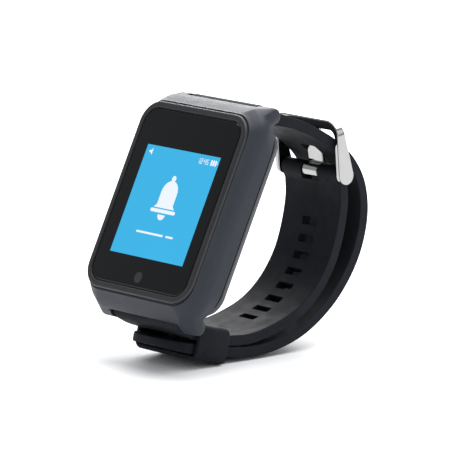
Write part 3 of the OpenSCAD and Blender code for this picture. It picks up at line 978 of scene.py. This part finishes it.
rings = []
for x, r, angle, half_t, half_h, edge in loop_stations():
    a = math.radians(angle)
    out_x, out_r = math.sin(a), -math.cos(a)
    rings.append(
        [buckle_point(x + out_x * t, r + out_r * t, h) for t, h in section(half_t, half_h, edge)]
    )
buckle = loft("buckle_loop", rings)
notch_low = 0.85
tang_half = 2.7
wide = tang_half + 0.14
near, far = arm_len - 3, arm_len + 3
notch_corners = ((-wide, near), (wide, near), (wide, far), (-wide, far))
rings = [[buckle_point(x, r, h) for x, r in notch_corners] for h in (notch_low, 4)]
boolean(buckle, loft("cut", rings))
boolean(buckle, rod("cut", 0.53, -ARM_IN - PIN_BORE, ARM_IN + PIN_BORE, *PIVOT))
finish_piece(buckle, "buckle_frame", polished, ["buckle_frame"], 30)

TANG_T = 0.9
curl_mid = 1.3
points = [tuple(blade_tip + (blade_foot - blade_tip) * t) for t in np.linspace(0, 0.96, 20)]
for a in range(6, 320, 8):
    b = math.radians(a)
    points.append(tuple(np.array(PIVOT) + curl_mid * (arm_out * math.cos(b) - arm_dir * math.sin(b))))
tang_path = Path(points)
stations = []
for s in list(np.linspace(0, 1.6, 9)) + list(np.arange(1.9, tang_path.total, 0.3)):
    t = 1 - min(s / 1.6, 1)
    half_w = tang_half * math.sqrt(max(1 - 0.9 * t**2.5, 0.02))
    stations.append((s, half_w, TANG_T / 2 * (1 - 0.3 * t), 0.2))
tang = sweep("tongue", tang_path, stations)
finish_piece(tang, "buckle_tang", polished, ["buckle_tang"], 30)

# ---- pieces that keep their CAD shape ----------------------------------------------------

film_black = plastic("film_black", (0.010, 0.010, 0.011), (0.014, 0.014, 0.015), 0.4, 0.5)
seal_black = plastic("seal_black", (0.006, 0.006, 0.007), (0.009, 0.009, 0.010), 0.6, 0.75)
panel_blue = plastic("panel_blue", (0.05, 0.22, 0.40), (0.06, 0.25, 0.44), 0.2, 0.3)
guide_white = plastic("guide_white", (0.72, 0.73, 0.74), (0.78, 0.79, 0.80), 0.3, 0.4)
ribbon_amber = plastic("ribbon_amber", (0.30, 0.12, 0.02), (0.36, 0.15, 0.03), 0.3, 0.4)
board_green = plastic("board_green", (0.008, 0.055, 0.024), (0.012, 0.075, 0.032), 0.28, 0.4)
chip_black = plastic("chip_black", (0.011, 0.011, 0.012), (0.017, 0.017, 0.018), 0.5, 0.6)
lead_red = plastic("lead_red", (0.35, 0.015, 0.010), (0.42, 0.020, 0.014), 0.4, 0.5)
ferrite_grey = plastic("ferrite_grey", (0.045, 0.045, 0.047), (0.060, 0.060, 0.062), 0.5, 0.65)
gold = metal("gold", (0.83, 0.60, 0.25), 0.18, 0.28)
sheet_metal = metal("sheet_metal", (0.58, 0.58, 0.60), 0.28, 0.40, (60, 1, 60))
tin = metal("tin", (0.62, 0.62, 0.62), 0.25, 0.38)
foil = metal("foil", (0.50, 0.51, 0.53), 0.30, 0.42)
copper = metal("copper", (0.62, 0.27, 0.12), 0.25, 0.38)
tungsten = metal("tungsten", (0.36, 0.34, 0.31), 0.35, 0.50)
screw_metal = metal("screw_metal", (0.24, 0.24, 0.25), 0.28, 0.40)

FINISHES = {
    "adhesive": film_black, "display": panel_blue, "light_guide": guide_white,
    "flex_ribbon": ribbon_amber, "gold_pad": gold, "chassis_metal": sheet_metal,
    "board": board_green, "chip_black": chip_black, "tin": tin, "ferrite": ferrite_grey,
    "copper_wire": copper, "cell_foil": foil, "lead_red": lead_red, "tungsten": tungsten,
    "seal_rubber": seal_black, "screw_steel": screw_metal, "bar_steel": bar_metal,
    "case_plastic": case_plastic, "bezel_plastic": bezel_plastic, "cover_glass": glass_black,
    "cover_plastic": cover_plastic, "strap_rubber": strap_rubber, "buckle_steel": polished,
}
for part in frame["record"]["subparts"]:
    node = frame["nodes"][part["node"]]
    node.data.materials.clear()
    node.data.materials.append(FINISHES[part["material_slot"]].material)

# ---- floor, light and camera --------------------------------------------------------------

floor_mesh = bpy.data.meshes.new("floor")
reach = 6.0
floor_mesh.from_pydata(
    [(-reach, -reach, 0), (reach, -reach, 0), (reach, reach, 0), (-reach, reach, 0)], [], [(0, 1, 2, 3)]
)
floor = bpy.data.objects.new("floor", floor_mesh)
bpy.context.scene.collection.objects.link(floor)
floor_white = Shader("floor_white")
floor_white.colour(floor_white.mix(floor_white.noise(2, 2), (0.90, 0.90, 0.90), (0.92, 0.92, 0.92)))
floor_white.put(Roughness=0.9, Specular_IOR_Level=0.0)
floor.data.materials.append(floor_white.material)

world = bpy.data.worlds.new("studio")
world.use_nodes = True
world.node_tree.nodes["Background"].inputs["Color"].default_value = (0.93, 0.96, 1.0, 1)
world.node_tree.nodes["Background"].inputs["Strength"].default_value = 0.6
bpy.context.scene.world = world


def softbox(name, place, size, power):
    """Area light at place, in metres, that faces the pager."""
    light = bpy.data.lights.new(name, "AREA")
    light.shape = "RECTANGLE"
    light.size, light.size_y = size
    light.energy = power
    obj = bpy.data.objects.new(name, light)
    obj.location = place
    aim = Vector((0, 0, 0.03)) - Vector(place)
    obj.rotation_euler = aim.to_track_quat("-Z", "Y").to_euler()
    bpy.context.scene.collection.objects.link(obj)


softbox("overhead", (0.0, 0.45, 1.3), (1.8, 1.4), 31)
softbox("right_side", (1.2, 0.5, 0.5), (0.7, 0.7), 2)
softbox("behind_left", (-1.05, 0.70, 0.66), (1.1, 0.5), 15)

bpy.context.scene.view_settings.view_transform = "Standard"

camera = bpy.data.cameras.new("camera")
camera.sensor_width = 36
camera.lens = 397.9
camera.clip_end = 20
view = bpy.data.objects.new("camera", camera)
view.location = in_row(922.0, -759.5, -114.8)
aim = in_row(12.0, 10.56, 22.96) - view.location
view.rotation_euler = aim.to_track_quat("-Z", "Y").to_euler()
bpy.context.scene.collection.objects.link(view)
bpy.context.scene.camera = view
